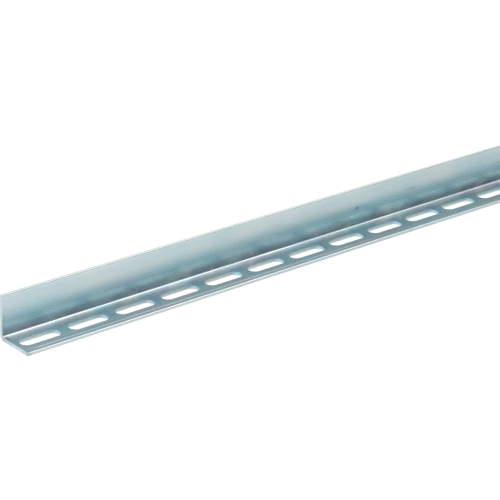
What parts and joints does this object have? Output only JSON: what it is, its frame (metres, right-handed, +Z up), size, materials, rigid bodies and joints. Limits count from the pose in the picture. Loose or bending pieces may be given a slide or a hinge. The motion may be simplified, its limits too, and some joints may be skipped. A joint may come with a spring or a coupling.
{
  "type": "slotted angle",
  "caption": "Equal-leg steel angle bent from strip, zinc plated, with a row of long bolt slots punched along one leg, for framing, brackets and pipe supports.",
  "frame": {"origin": "on the floor, midway along the bar and midway between the toe of the slotted leg and the back face of the plain leg", "axes": "+X along the bar, +Y from the toe of the lying slotted leg towards the back of the plain leg, +Z up along the plain leg"},
  "size_m": [0.9, 0.04, 0.04],
  "materials": {
    "zinc_plated_steel": "bright bluish zinc plate over cold rolled steel, satin, with faint lengthwise rolling lines and a soft blue-green tint that varies over the surface"
  },
  "bodies": {
    "root": {"slotted_angle": "zinc_plated_steel"}
  },
  "joints": []
}
